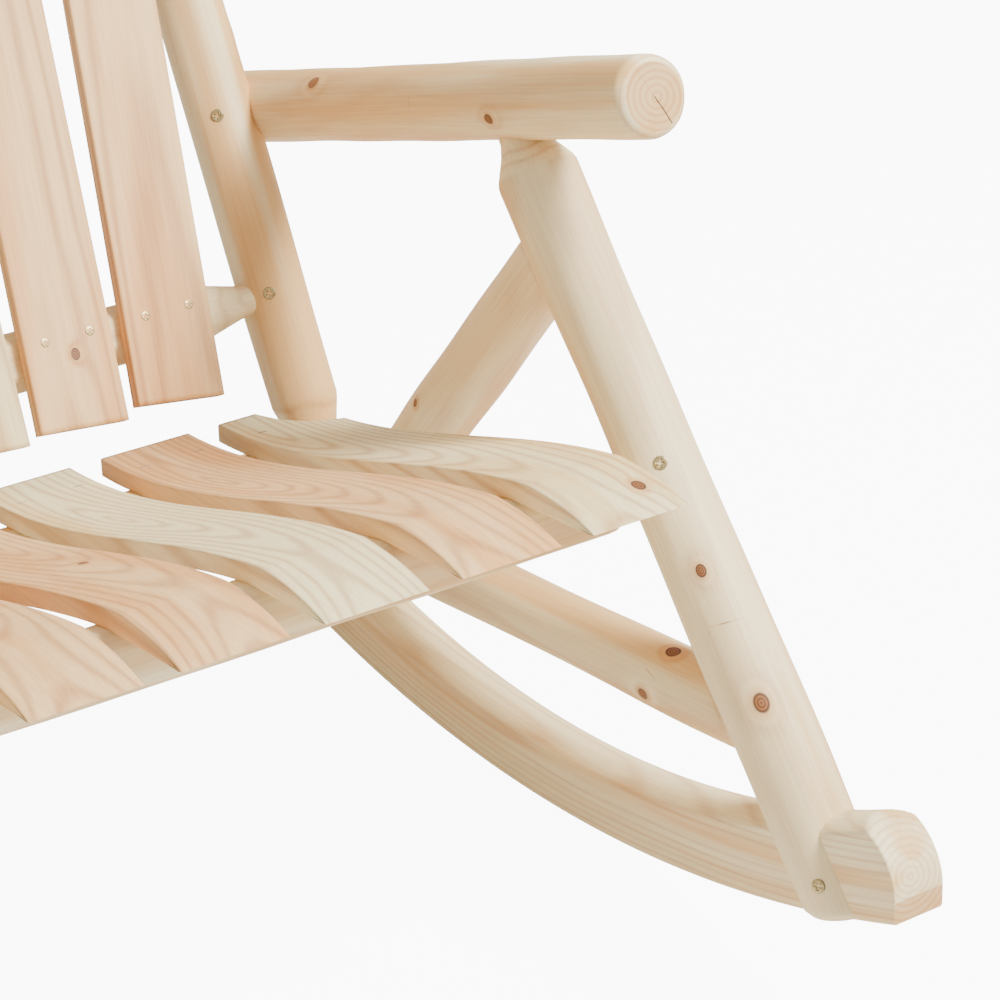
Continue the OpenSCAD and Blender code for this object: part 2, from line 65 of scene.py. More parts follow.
BACKS, BACK_W, BACK_T, BACK_PITCH, BACK_FAN, BACK_LEN = 8, 81, 15, 92.6, np.radians(7.2), 700
ARCH_R, POST_LEN, LOW_S, HIGH_S, BOARD_FACE, ARM_LAP = 980, 650, 69, 520, 38, 13.5
SIDE_GAP, RAIL_AT, REAR_OVERHANG, RAIL_BITE, LEG_BEHIND, REAR_LAP = 29.5, 110.0, 60.0, 2, -3, 17
POST_BEHIND, FOOT_RISE, FOOT_LAP, FOOT_TAIL, FOOT_Z = 69, 56.6, 1.5, 18, 20
SHOULDER_S, FOOT_TAPER, NECK_IN, LEG_TAPER, SCREW_RISE, NAIL_HALF = -30, 34, 8, 34, 8, 26
SCOOP_R, SCOOP_X, SCOOP_Y, FLOOR_GAP = 87, 26, 6, 1
HEAD_R, SHANK_R, LAG_HEAD_R, LAG_R = 4, 2, 5.5, 3
EASE, STEP, AROUND = 1.8, 5, 96  # board edge rounding, spacing of rings, points round a log

# %% Curve of the seat
TOP_CENTRE = ROCKER_H + ROCKER_TOP_R
SEAT_HALF = (SLATS * SLAT_W + (SLATS - 1) * SLAT_GAP) / 2


def seat_top(y):
    """Height of the seat above its front tip, y behind it: a rolled edge
    10.6 (1 - (1 - y / 83)^2.6), then a fall of 110 f(t), f being a cubic Bezier share."""
    nose = SEAT_ROLL * (1 - np.clip(1 - y / ROLL_Y, 0, 1) ** 2.6)
    t = np.clip((y - ROLL_Y) / (SEAT_LEN - ROLL_Y), 0, 1)
    fall = 3 * (1 - t) ** 2 * t * 0.23 + 3 * (1 - t) * t**2 * 0.94 + t**3
    return nose - SEAT_DROP * fall


def seat_under(y):
    """Underside: one board thickness down, and a straight cut up to the tip in front of UNDER_Y."""
    cut = np.interp(y, [0, 5, UNDER_Y], [0, -2, seat_top(UNDER_Y) - SLAT_T])
    return np.where(y < UNDER_Y, cut, seat_top(y) - SLAT_T)


print("seat rises", round(float(seat_top(np.array(83.0))), 1), "mm, width", 2 * SEAT_HALF, "mm")

# %% Where the logs run
LEG_X = SEAT_HALF + SIDE_GAP + LEG_R
POST_X = LEG_X - ARM_R - POST_R + ARM_LAP
ROCKER_X = LEG_X - LEG_R + LAP_T
SEAT_Y = -SEAT_FRONT


def under_rail(at):
    """Middle line of a log let 2 mm into the seat's underside, `at` behind the front tip."""
    under = float(seat_under(np.array(at)))
    return np.array([SEAT_Y + at, SEAT_H + under + RAIL_BITE - SEAT_RAIL_R])


FRONT_RAIL, REAR_RAIL = under_rail(RAIL_AT), under_rail(SEAT_LEN - REAR_OVERHANG)


def leg_at(z):
    """Point of the front leg's middle line at height z."""
    return np.array([FRONT_RAIL[0] + LEG_BEHIND + (z - FRONT_RAIL[1]) * np.tan(LEG_LEAN), z])


ARM_CROSS, LEG_FOOT, REAR_HEAD = leg_at(ARM_H), leg_at(FOOT_Z), leg_at(REAR_H)


def arm_at(y):
    """Point of the armrest's middle line, y along the chair."""
    return np.array([y, ARM_H - (y - ARM_CROSS[0]) * np.tan(ARM_SLOPE)])


to_rail = REAR_RAIL - REAR_HEAD
rear_angle = np.arctan2(to_rail[1], to_rail[0]) - np.arcsin(REAR_LAP / np.hypot(*to_rail))
REAR_DIR = np.array([np.cos(rear_angle), np.sin(rear_angle)])


def rear_at(z):
    """Point of the rear leg's middle line at height z."""
    return REAR_HEAD + REAR_DIR * (z - REAR_H) / REAR_DIR[1]


BACK_AT = REAR_RAIL + [POST_BEHIND + FOOT_RISE * np.sin(BACK_LEAN), FOOT_RISE * np.cos(BACK_LEAN)]
POST_DIR = np.array([np.sin(BACK_LEAN), np.cos(BACK_LEAN)])
to_back = BACK_AT - REAR_HEAD
FOOT_S = -np.cross(to_back, REAR_DIR) / np.cross(POST_DIR, REAR_DIR)
FOOT_R = LEG_X - REAR_R - POST_X + FOOT_LAP
ARM_S = (arm_at(BACK_AT[0])[1] - BACK_AT[1]) / (
    np.cos(BACK_LEAN) + np.sin(BACK_LEAN) * np.tan(ARM_SLOPE))
ARM_TIP = arm_at(ARM_CROSS[0] - ARM_FRONT * np.cos(ARM_SLOPE))
ARM_END = arm_at(BACK_AT[0] + ARM_S * np.sin(BACK_LEAN) + ARM_TAIL * np.cos(ARM_SLOPE))
print("front log", FRONT_RAIL.round(1), "back starts", BACK_AT.round(1), "foot", round(FOOT_S, 1))

# %% [markdown]
# ## Points, frames and cuts
#
# A log's end is found one line at a time: each of its lines is followed to where it meets a flat
# cut, another log, or the arc of the floor.

# %% Frames


def xyz(x, point):
    """Side-view point (y, z) at width x."""
    return np.array([x, point[0], point[1]], float)


def back_point(x, y, s):
    """Point of the back's frame: x across, y behind, s up the back."""
    c, n = np.cos(BACK_LEAN), np.sin(BACK_LEAN)
    return np.stack([x + 0 * s + 0 * y, BACK_AT[0] + y * c + s * n + 0 * x,
                     BACK_AT[1] + s * c - y * n + 0 * x], -1)


def settle(p):
    """Rolls points about the rocker arc's centre c: p' = c + R (p - c), and turns mm into m."""
    c, n = np.cos(TILT), np.sin(TILT)
    y, z = p[..., 1], p[..., 2] - ROCKER_R
    return np.stack([p[..., 0], y * c - z * n, y * n + z * c + ROCKER_R], -1) / 1000


def unit(v):
    """v / |v|."""
    return v / np.linalg.norm(v, axis=-1, keepdims=True)


# %% Cuts


def flat(t):
    """A cut square to the log."""
    return lambda q, d: np.full(q.shape[:-1], float(t))


def cope(a, b, r, which):
    """Where lines q + t d meet the cylinder of radius r about a-b: the roots of
    |w|^2 = r^2, w being the part of q + t d - a square to the cylinder. which is -1 or 1."""
    e = unit(b - a)

    def cut(q, d):
        w = (q - a) - ((q - a) @ e)[..., None] * e
        k = d - (d @ e) * e
        half = (w @ k) / (k @ k)
        root = half**2 - ((w * w).sum(-1) - r * r) / (k @ k)
        return -half + which * np.sqrt(np.maximum(root, 0))

    return cut


X_AXIS = np.array([1.0, 0, 0])
ARC_CENTRE = np.array([0.0, 0, ROCKER_R])
on_floor = cope(ARC_CENTRE, X_AXIS + ARC_CENTRE, ROCKER_R - FLOOR_GAP, -1)

# %% [markdown]
# ## Surfaces
#
# Each part carries three vectors per point for the wood shader:
#
# - `wood`: place in the tree, in metres, x and y across the trunk from its pith and z along it
# - `knot`: offset from the nearest knot in knot radii, and how dark that knot is; on a screw only
#   its last entry is set, as painted shade in the cross recess and on the head's rim
# - `cap`: place on a sawn end, in cm, turned so that its drying crack runs along +y, and 1 on it

# %% Knots
FAR = np.array([99.0, 99.0, 0.0])


def knot_field(u, v, knots, period=1e6):
    """Offset (u - ku, v - kv) / kr to the nearest of the knots [ku, kv, kr, tone] and its tone.
    u repeats after the period, as it does round a log."""
    out = np.broadcast_to(FAR, u.shape + (3,)).copy()
    best = np.full(u.shape, 99.0)
    for ku, kv, kr, tone in knots:
        p = ((u - ku + period / 2) % period - period / 2) / kr
        q = (v - kv) / kr
        near = np.hypot(p, q) < best
        best = np.where(near, np.hypot(p, q), best)
        out[near] = np.stack([p, q, np.full_like(p, tone)], -1)[near]
    return out


def random_knots(rng, count, length, around):
    """Knots spread along a log, as [place around, place along, radius, tone]."""
    return [[rng.uniform(0, around), rng.uniform(0.1, 0.9) * length, rng.uniform(2.5, 5),
             rng.uniform(0.2, 0.9)] for _ in range(count)]


# %% Logs
CAP_SHARES = np.array([0.02, 0.3, 0.55, 0.75, 0.9, 0.985])


def log(a, b, r, out, start=None, finish=None, profile=None, knots=(), seed=0, round_by=3.0,
        crack=0.0, wave=0.55, trim=None):
    """Rings P(i, j) = a + t d + R(t, j) (cos j u + sin j v) from a to b.

    u is the direction `out` made square to the log. R is r, or follows the profile [(t, R), ...],
    plus slow waves and a swelling 1.3 exp(-0.35 k^2) over each knot [degrees, t, radius, tone].
    The rim draws in by a quarter circle, and rings of CAP_SHARES of it close both ends."""
    rng = np.random.default_rng(seed)
    d = unit(b - a)
    u = unit(out - (out @ d) * d)
    v = np.cross(d, u)
    length = np.linalg.norm(b - a)
    turn = np.linspace(0, 2 * np.pi, AROUND, endpoint=False)
    ray = np.cos(turn)[:, None] * u + np.sin(turn)[:, None] * v
    start, finish = start or flat(0), finish or flat(length)
    low, high = start(a + r * ray, d), finish(a + r * ray, d)
    share = np.linspace(0, 1, int(length / STEP) + 2)[:, None]
    t = low + (high - low) * share
    base = np.interp(t, *np.array(profile, float).T) if profile else np.full_like(t, r)
    for k in (2, 3, 5):
        phase, twist = rng.uniform(0, 2 * np.pi), rng.uniform(-1, 1) / 90
        base = base + wave / k**0.5 * np.sin(k * turn + phase + t * twist * k)
    base = base + wave * np.sin(t / rng.uniform(60, 90) + rng.uniform(0, 6))
    spots = [[np.radians(g) * r, at, size, tone] for g, at, size, tone in knots]
    spots = spots or random_knots(rng, 2, length, 2 * np.pi * r)
    around = np.broadcast_to(turn * r, t.shape)
    field = knot_field(around, t, spots, 2 * np.pi * r)
    base = base + 1.3 * np.exp(-0.35 * np.hypot(field[..., 0], 0.6 * field[..., 1]) ** 2)
    for edge in (0, -1):
        ease = np.clip(1 - np.abs(t - t[edge]) / round_by, 0, 1)
        base = base - round_by * (1 - np.sqrt(1 - 0.999 * ease**2))
    shares = CAP_SHARES[:, None]
    far = np.broadcast_to(FAR, (CAP_SHARES.size, turn.size, 3))
    caps = [[end(a + k[:, None] * r * ray, d) for k in shares] for end in (start, finish)]
    at = np.concatenate([np.array(caps[0]), t, np.array(caps[1])[::-1]])
    rad = np.concatenate([shares * base[0], base, shares[::-1] * base[-1]])
    knot = np.concatenate([far, field, far])
    capped = np.concatenate([np.ones(far.shape[:2]), np.zeros(t.shape), np.ones(far.shape[:2])])
    p = a + at[..., None] * d + rad[..., None] * ray
    if trim:
        p = trim(p)
    x, y = rad * np.cos(turn), rad * np.sin(turn)
    wood = np.stack([x, y, at], -1) / 1000 + [rng.uniform(-2, 2) / 1000, rng.uniform(-2, 2) / 1000,
                                              rng.uniform(0, 40)]
    c, n = np.cos(crack), np.sin(crack)
    cap = np.stack([(x * c - y * n) / 10, (x * n + y * c) / 10, capped], -1)
    return {"at": p, "wood": wood, "knot": knot, "cap": cap}


# %% Boards


def board_outline(width, edge):
    """Cross-section as (x, share of the thickness up, offset): a rectangle with eased corners."""
    bend = np.radians(np.linspace(0, 90, 4))
    flat_x = np.linspace(-1, 1, 22)[1:-1] * (width / 2 - edge)
    side = np.linspace(0, 1, 6)[1:-1]
    half, c, n = width / 2, edge * (1 - np.cos(bend)), edge * (1 - np.sin(bend))
    x = np.concatenate([flat_x, half - edge + edge * np.sin(bend), np.full(4, half),
                        half - edge + edge * np.cos(bend), flat_x[::-1],
                        -(half - edge + edge * np.sin(bend)), np.full(4, -half),
                        -(half - edge + edge * np.cos(bend))])
    up = np.concatenate([np.ones(24), 1 - side, np.zeros(28), side, np.ones(4)])
    off = np.concatenate([np.zeros(20), -c, np.zeros(4), n, np.zeros(20), c, np.zeros(4), -n])
    return x, up, off


END_SHARES = np.array([0.01, 0.2, 0.6, 0.97])[:, None, None]
NO_CRACK = 9.0  # a place on the end that is far from any crack


def shrunk(ring):
    """Copies of a ring drawn in towards its middle, smallest first."""
    mid = ring.mean(0)
    return mid + END_SHARES * (ring - mid)


def closed(values):
    """A grid with shrunk rings added before its first ring and after its last."""
    return np.concatenate([shrunk(values[0]), values, shrunk(values[-1])[::-1]])


def ends_closed(p, wood, knot):
    """A part whose two ends are closed, with cap marked 1 on them."""
    far = np.broadcast_to(FAR, (len(END_SHARES),) + knot.shape[1:])
    end = np.broadcast_to([NO_CRACK, 0.0, 1.0], far.shape)
    side = np.broadcast_to([NO_CRACK, 0.0, 0.0], p.shape)
    return {"at": closed(p), "wood": closed(wood), "knot": np.concatenate([far, knot, far]),
            "cap": np.concatenate([end, side, end])}


def seat_mid(i):
    """Middle of seat board i across the chair."""
    return SEAT_HALF - SLAT_W / 2 - (i - 1) * (SLAT_W + SLAT_GAP)


def back_mid(i):
    """Middle of back board i at its foot, and the angle that it fans out by."""
    mid = BACK_PITCH * ((BACKS + 1) / 2 - i)
    return mid, BACK_FAN * mid / (BACK_PITCH * (BACKS - 1) / 2)


def seat_board(i, knots=()):
    """Sections of a seat board from the front tip back. Its outer rear corner follows the scoop
    y = yc - sqrt(87^2 - (x - xc)^2) that clears the back post."""
    rng = np.random.default_rng(40 + i)
    mid = seat_mid(i)
    x, up, off = board_outline(SLAT_W, EASE)
    inside = SCOOP_R**2 - (np.abs(mid + x) - POST_X - SCOOP_X) ** 2
    scoop = SEAT_LEN + SCOOP_Y - np.sqrt(np.maximum(inside, 0))
    end = np.minimum(np.where(inside > 0, scoop, SEAT_LEN), SEAT_LEN)
    tip = 1 - np.cos(np.linspace(0, 0.5, 14))
    y = np.concatenate([tip, np.linspace(0.13, 1, 120)])[:, None] * end
    top, under = seat_top(y), seat_under(y)
    room = np.clip((top - under) / 5, 0, 1)
    z = under + up * (top - under) + off * room
    p = np.stack([np.broadcast_to(mid + x, y.shape), SEAT_Y + y, SEAT_H + z], -1)
    lean, depth = rng.uniform(-22, 22), rng.uniform(26, 52)
    wood = np.stack([np.broadcast_to(x + lean, y.shape), z * 0.5 + depth + 0.012 * y, y], -1) / 1000
    wood = wood + [0, 0, rng.uniform(0, 40)]
    return ends_closed(p, wood, knot_field(np.broadcast_to(x, y.shape), y, knots))


def back_board(i, knots=()):
    """Sections of a back board up to the arch: each line ends where it meets the circle
    of radius 980 about (0, 700 - 980) in the plane of the back."""
    rng = np.random.default_rng(70 + i)
    mid, fan = back_mid(i)
    x, up, off = board_outline(BACK_W, EASE)
    x0 = mid + x * np.cos(fan)
    s0 = -x * np.sin(fan) - (BACK_LEN - ARCH_R)
    b = x0 * np.sin(fan) + s0 * np.cos(fan)
    end = -b + np.sqrt(b * b - (x0**2 + s0**2 - ARCH_R**2))
    s = np.linspace(0, 1, 140)[:, None] * end
    y = -BOARD_FACE + (1 - up) * BACK_T - off + 0 * s
    p = back_point(x0 + s * np.sin(fan), y, -x * np.sin(fan) + s * np.cos(fan))
    lean, depth = rng.uniform(-26, 26), rng.uniform(30, 60)
    wood = np.stack([np.broadcast_to(x + lean, s.shape), depth - y + 0.02 * s, s], -1) / 1000
    wood = wood + [0, 0, rng.uniform(0, 40)]
    return ends_closed(p, wood, knot_field(np.broadcast_to(x, s.shape), s, knots))


# %% Rockers


def rocker(sign):
    """Sections x-z of a rocker at each y: flat faces between the floor arc
    z = 1350 - sqrt(1350^2 - y^2) and a round top z = 1100 - sqrt(rho^2 - y^2),
    rho = 1041 + 32.5 - sqrt(32.5^2 - x^2), with quarter circles at its two ends."""
    rng = np.random.default_rng(90 + sign)
    x, up, off = board_outline(ROCKER_W, 2.2)
    back = rear_at(FOOT_Z)[0] + ROCKER_TAIL
    first, last = NOSE_R - ROCKER_FRONT, back - TAIL_R
    turn = np.linspace(0, np.pi / 2, 24)
    y = np.concatenate([first - NOSE_R * np.cos(turn), np.linspace(first, last, 190)[1:-1],
                        last + TAIL_R * np.sin(turn)])[:, None]
    rho = ROCKER_TOP_R + LEG_R - np.sqrt(LEG_R**2 - x**2)
    crown = TOP_CENTRE - np.sqrt(rho**2 - y**2)
    nose = TOP_CENTRE - np.sqrt(ROCKER_TOP_R**2 - first**2) - NOSE_R
    tail = TOP_CENTRE - np.sqrt(ROCKER_TOP_R**2 - last**2) - TAIL_R
    round_nose = nose + np.sqrt(np.maximum(NOSE_R**2 - np.minimum(y - first, 0) ** 2, 0))
    round_tail = tail + np.sqrt(np.maximum(TAIL_R**2 - np.maximum(y - last, 0) ** 2, 0))
    top = np.where(y < first, np.minimum(crown, round_nose), crown)
    top = np.where(y > last, np.minimum(crown, round_tail), top)
    under = ROCKER_R - np.sqrt(ROCKER_R**2 - y**2)
    top = np.maximum(top, under + 0.5)
    z = under + up * (top - under) + off * np.clip((top - under) / 6, 0, 1)
    width = ROCKER_X + ROCKER_W / 2
    p = np.stack([np.broadcast_to(sign * (width + x), z.shape), np.broadcast_to(y, z.shape), z], -1)
    middle = (crown.min(1, keepdims=True) + under) / 2
    wood = np.stack([np.broadcast_to(x + 8, z.shape), (z - middle) + 0.22 * middle - 25,
                     np.broadcast_to(y, z.shape)], -1) / 1000
    wood = wood + [0, 0, rng.uniform(0, 40)]
    return ends_closed(p, wood, knot_field(z, z, ()))


# %% Screws and staples


FACE_RINGS = 12  # rings across the face of a screw's head
RECESS, DOME, PROUD = 1.6, 0.35, 0.25


def screw(at, way, length, lag):
    """A countersunk screw: a revolved profile whose face is sunk by the cross recess
    h(x, y) = 1.6 max(arm(x, y), arm(y, x)), each arm fading out over its last stretch.
    The recess and the rim of the head are also given painted shade in colour."""
    head, shank = (LAG_HEAD_R, LAG_R) if lag else (HEAD_R, SHANK_R)
    turn = np.linspace(0, 2 * np.pi, 48, endpoint=False)
    sink = 0.8 + head - shank
    r = np.concatenate([np.linspace(0.02, 0.9, FACE_RINGS) * head,
                        [0.97 * head, head, head, shank, shank, 0.02]])[:, None]
    t = np.concatenate([np.zeros(FACE_RINGS),
                        [0.05, 0.25, 0.8, sink, length - 2 * shank, length]])[:, None]
    ring = np.arange(r.size)[:, None]
    x, y = r * np.cos(turn), r * np.sin(turn)
    deep = np.zeros_like(x)
    for p, q in ((x, y), (y, x)):
        arm = np.clip((0.17 * head - np.abs(p)) / (0.07 * head), 0, 1)
        deep = np.maximum(deep, arm * np.clip((0.62 * head - np.abs(q)) / (0.1 * head), 0, 1))
    z = t + np.where(ring < FACE_RINGS, RECESS * deep - DOME * (1 - (r / head) ** 2), 0)
    d = unit(np.array(way, float))
    u = unit(np.cross(d, [0.31, 0.2, 0.93]))
    v = np.cross(d, u)
    p = at + x[..., None] * u + y[..., None] * v + (z - PROUD)[..., None] * d
    # painted shade: the cross recess and the outer rim of the head are darkened in colour, carried
    # in the knot attribute's last entry
    rim = np.clip(r / head - 0.9, 0, 0.1) * 8
    recess_and_rim_shade = np.maximum(deep, rim) * (ring < FACE_RINGS + 3)
    return {"at": p, "wood": p / 1000, "knot": FAR + recess_and_rim_shade[..., None] * [0, 0, 1],
            "cap": np.zeros(p.shape)}


def staple(at):
    """A wire bent twice: a tube of radius 0.62 along crown and legs with 1.5 mm bends."""
    half, deep, bend, r = 4.9, 30, 1.5, 0.62
    corner = np.linspace(0, np.pi / 2, 6)
    c, n = bend * (1 - np.cos(corner)), bend * (1 - np.sin(corner))
    x = np.concatenate([[-half], -half + c, half - n, [half]])
    z = np.concatenate([[-deep], -n, -c, [-deep]])
    path = np.stack([x, 0 * x, z - 0.2], -1)
    way = unit(np.gradient(path, axis=0))
    turn = np.linspace(0, 2 * np.pi, 12, endpoint=False)[:, None]
    side = np.array([0.0, 1, 0])
    up = np.cross(way, side)
    p = at + path[:, None] + r * (np.cos(turn) * side + np.sin(turn) * up[:, None])
    return {"at": p, "wood": p / 1000, "knot": np.broadcast_to(FAR, p.shape),
            "cap": np.zeros(p.shape)}


# %% Meshes


def piece(name, nodes, material, parts):
    """One object from one or more grids of rings, wound so that its volume
    sum a . (b x c) / 6 is positive, riding on the chair in place of the solids."""
    verts, faces, base = [], [], 0
    fields = {"wood": [], "knot": [], "cap": []}
    for part in parts:
        p = settle(part["at"])
        n, m = p.shape[:2]
        i = np.arange(n * m).reshape(n, m)
        j = np.roll(i, -1, axis=1)
        quads = np.stack([i[:-1], j[:-1], j[1:], i[1:]], -1).reshape(-1, 4)
        flatp = p.reshape(-1, 3)
        q = flatp[quads] - flatp.mean(0)
        volume = sum(np.einsum("ij,ij->", q[:, 0], np.cross(q[:, k], q[:, k + 1])) for k in (1, 2))
        ends = [i[0][::-1].tolist(), i[-1].tolist()]
        if volume < 0:
            quads, ends = quads[:, ::-1], [e[::-1] for e in ends]
        faces += (quads + base).tolist() + [[k + base for k in e] for e in ends]
        verts.append(flatp)
        for key in fields:
            fields[key].append(part[key].reshape(-1, 3))
        base += n * m
    mesh = bpy.data.meshes.new(name)
    mesh.from_pydata(np.concatenate(verts), [], faces)
    for key, values in fields.items():
        layer = mesh.attributes.new(key, "FLOAT_VECTOR", "POINT")
        layer.data.foreach_set("vector", np.concatenate(values).astype(np.float32).ravel())
    mesh.shade_smooth()
    mesh.update()
    mesh.materials.append(material)
    obj = bpy.data.objects.new(name, mesh)
    bpy.context.scene.collection.objects.link(obj)
    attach(obj, "root")
    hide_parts(*nodes)
    return obj


print("surface makers ready")

# %% [markdown]
# ## Wood
#
# A tree is drawn as a solid: growth rings around a wandering pith, fibres along it. The rings bend
# round each knot. A log shows the rings as broad flames on its side and as circles on its end.

# %% Node sockets with operators


class Sock:
    """A shader socket. + - * / and ** between sockets and numbers make the maths nodes."""

    def __init__(self, tree, out):
        self.tree, self.out = tree, out
        self.is_vector = out.type == "VECTOR"

    def node(self, kind, inputs, out=0, **props):
        """Adds a node, sets its properties and inputs, and returns one of its outputs."""
        made = self.tree.nodes.new("ShaderNode" + kind)
        for key, value in props.items():
            setattr(made, key, value)
        for key, value in inputs.items():
            if isinstance(value, Sock):
                self.tree.links.new(value.out, made.inputs[key])
            else:
                made.inputs[key].default_value = value
        return Sock(self.tree, made.outputs[out])

    def math(self, op, *others):
        """A Math node, or a Vector Math node if either side is a vector."""
        args = [self, *others]
        wide = any(isinstance(a, tuple) or getattr(a, "is_vector", False) for a in args)
        if wide:
            args = [a if isinstance(a, (Sock, tuple)) else (a, a, a) for a in args]
        return self.node("VectorMath" if wide else "Math", dict(enumerate(args)), operation=op)

    def __add__(self, o):
        return self.math("ADD", o)

    def __sub__(self, o):
        return self.math("SUBTRACT", o)

    def __mul__(self, o):
        return self.math("MULTIPLY", o)

    def __truediv__(self, o):
        return self.math("DIVIDE", o)

    def __pow__(self, o):
        return self.math("POWER", o)

    def __rsub__(self, o):
        return self * -1 + o

    __radd__, __rmul__ = __add__, __mul__

    def length(self):
        """Length of a vector."""
        return self.node("VectorMath", {0: self}, out="Value", operation="LENGTH")

    def part(self, axis):
        """One component of a vector."""
        return self.node("SeparateXYZ", {0: self}, out=axis)

    def noise(self, scale, detail=3.0, out="Fac"):
        """Noise of this vector scaled by (x, y, z)."""
        at = self * tuple(scale)
        return self.node("TexNoise", {"Vector": at, "Scale": 1.0, "Detail": detail}, out=out)

    def step(self, low, high):
        """0 below low, 1 above high, smooth between. low may be the larger."""
        return self.node("MapRange", {"Value": self, "From Min": low, "From Max": high},
                         interpolation_type="SMOOTHSTEP")

    def mix(self, a, b):
        """Colour a where this is 0, b where it is 1."""
        made = self.tree.nodes.new("ShaderNodeMix")
        made.data_type = "RGBA"
        self.tree.links.new(self.out, made.inputs[0])
        for slot, value in ((6, a), (7, b)):
            if isinstance(value, Sock):
                self.tree.links.new(value.out, made.inputs[slot])
            else:
                made.inputs[slot].default_value = (*value, 1)
        return Sock(self.tree, made.outputs[2])


def new_material(name):
    """An empty material, its node tree and its Principled node."""
    mat = bpy.data.materials.new(name)
    mat.use_nodes = True
    tree = mat.node_tree
    shader = tree.nodes["Principled BSDF"]
    return mat, tree, shader


def attribute(tree, name):
    """A vector that the mesh carries."""
    node = tree.nodes.new("ShaderNodeAttribute")
    node.attribute_name = name
    return Sock(tree, node.outputs["Vector"])


def linear(r, g, b):
    """sRGB 0-255 to linear: ((c + 0.055) / 1.055)^2.4."""
    c = np.array([r, g, b]) / 255
    return tuple(float(v) for v in np.where(c < 0.04045, c / 12.92, ((c + 0.055) / 1.055) ** 2.4))


# %% Wood material


def wood(name, pale, warm, late, ring, ring_gap, ring_depth, streak, end):
    """pale and warm are the two tones of the wood between its rings, late the ring line itself,
    ring how strong the lines are, ring_gap their spacing in m, streak how much warm shows."""
    mat, tree, shader = new_material(name)
    at, knot, cap = (attribute(tree, n) for n in ("wood", "knot", "cap"))
    drift = at.noise((5, 5, 1.6), 2.0, "Color") - (0.5, 0.5, 0.5)
    warped = at + drift * (ring_depth, ring_depth, 0.0)
    near = (knot * (1.0, 0.75, 0.0)).length()
    bend = (near * near * 0.30 + 1.0) ** -2.0
    radius = (warped * (1.0, 1.0, 0.0)).length() + bend * 0.009
    phase = radius / ring_gap + at.noise((14, 14, 2.5), 2.0) * 1.6
    line = ((phase * 6.2832).math("SINE") * 0.5 + 0.5) ** 3.0
    flame = at.noise((26, 26, 1.3), 4.0).step(0.45, 0.64)
    broad = at.noise((7, 7, 1.1), 2.0).step(0.35, 0.7)
    fibre = at.noise((520, 520, 9), 3.0)
    fine = at.noise((1500, 1500, 30), 2.0)
    colour = ((flame * 0.7 + broad * 0.25) * streak).mix(pale, warm)
    colour = (line * (fibre * 0.5 + 0.75) * ring).mix(colour, late)
    colour = (fibre.step(0.35, 0.7) * 0.16).mix(colour, late)
    colour = (fine.step(0.58, 0.8) * 0.14).mix(colour, late)
    ends = cap.part("Z")
    sawn = (line * 0.55 + fine * 0.3).mix(end, late)
    colour = (ends * 0.75).mix(colour, sawn)
    tone = knot.part("Z")
    halo = near.step(2.6, 1.0) * (near.step(1.0, 1.2) * 0.5 + 0.5)
    colour = (halo * (tone * 0.35 + 0.25)).mix(colour, linear(206, 138, 70))
    circles = (near * 16.0 + fibre * 2.0).math("SINE") * 0.5 + 0.5
    core = (circles * 0.5 + tone * 0.4).mix(linear(176, 112, 58), linear(62, 34, 20))
    colour = near.step(1.05, 0.82).mix(colour, core)
    rim = near.step(0.72, 0.86) * near.step(1.12, 0.96)
    colour = (rim * (tone * 0.6 + 0.2)).mix(colour, linear(70, 38, 22))
    wander = at.noise((60, 60, 60), 2.0) - 0.5
    side = (cap.part("X") + wander * 0.12).math("ABSOLUTE")
    # the cracks and checks are real; their dark colour is painted shade inside them (the bump below
    # also cuts them in)
    crack = side.step(0.07, 0.02) * cap.part("Y").step(-0.05, 0.1) * ends
    check = side.step(0.03, 0.008) * ends * 0.35
    colour = (crack + check).mix(colour, linear(70, 44, 26))
    tree.links.new(colour.out, shader.inputs["Base Color"])
    rough = fibre * 0.22 + line * 0.05 + ends * 0.12 + 0.47
    tree.links.new(rough.out, shader.inputs["Roughness"])
    height = fibre * 0.5 + fine * 0.25 + line * 0.25 - crack * 4.0 - near.step(1.0, 0.9) * 0.3
    bump = height.node("Bump", {"Height": height, "Distance": 0.00022, "Strength": 0.6},
                       out="Normal")
    tree.links.new(bump.out, shader.inputs["Normal"])
    return mat


LOG = wood("log_wood", linear(244, 228, 180), linear(226, 168, 84), linear(180, 116, 54),
           0.30, 0.0054, 0.020, 0.85, linear(206, 164, 106))
PALE = wood("pale_board", linear(242, 228, 176), linear(224, 180, 104), linear(170, 112, 54),
            0.44, 0.0068, 0.026, 0.75, linear(168, 116, 60))
TAN = wood("tan_board", linear(236, 194, 134), linear(220, 152, 82), linear(160, 94, 44),
           0.44, 0.0068, 0.026, 0.85, linear(154, 98, 50))


# %% Metal


def metal(name, colour, dull, rough):
    """Plated steel with blotches and fine scratches, and painted shade where the knot attribute's
    last entry marks a screw's cross recess and head rim.
    """
    mat, tree, shader = new_material(name)
    at = attribute(tree, "wood")
    blotch = at.noise((700, 700, 700), 4.0)
    plain = blotch.step(0.4, 0.7).mix(colour, dull)
    # painted shade: darkens the cross recess and head rim marked in the knot attribute
    plate_with_painted_shade = attribute(tree, "knot").part("Z").mix(plain, linear(38, 30, 20))
    tree.links.new(plate_with_painted_shade.out, shader.inputs["Base Color"])
    tree.links.new((blotch * 0.3 + rough).out, shader.inputs["Roughness"])
    shader.inputs["Metallic"].default_value = 0.85
    bump = blotch.node("Bump", {"Height": at.noise((2600, 900, 900), 2.0), "Distance": 0.00005,
                                "Strength": 0.5}, out="Normal")
    tree.links.new(bump.out, shader.inputs["Normal"])
    return mat


